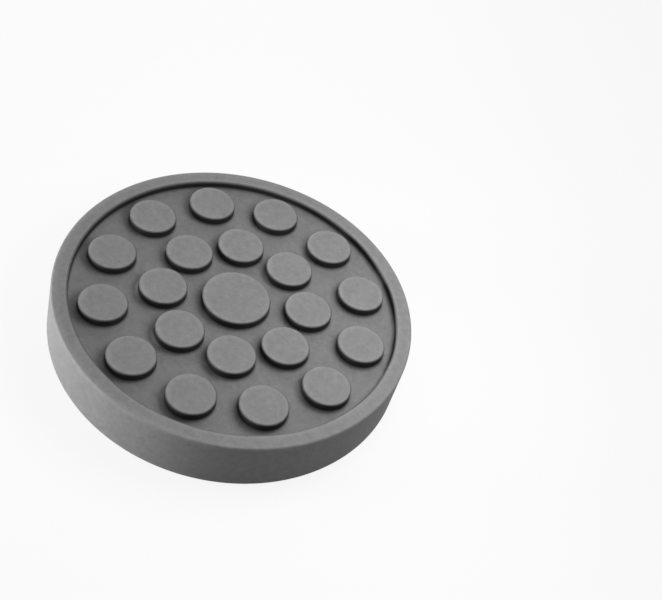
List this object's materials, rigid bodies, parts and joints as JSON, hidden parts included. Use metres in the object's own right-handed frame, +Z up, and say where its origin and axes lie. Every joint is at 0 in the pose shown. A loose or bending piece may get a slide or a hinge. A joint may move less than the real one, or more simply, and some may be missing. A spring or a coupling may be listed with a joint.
{
  "type": "lift arm rubber pad",
  "caption": "Round slip-on rubber pad for a vehicle lift's arm: a rimmed disc with rings of round grip studs above, and a lipped cup below that holds the arm's steel plate.",
  "frame": {"origin": "centre of the lower face, on the pad's axis", "axes": "+Z up along the pad's axis, from the cup's mouth towards the studs; +X through one stud of each ring"},
  "size_m": [0.15, 0.15, 0.0245],
  "materials": {
    "rubber": "matt moulded rubber, mid grey, slightly mottled"
  },
  "bodies": {
    "root": {"rubber_pad": "rubber"}
  },
  "joints": []
}
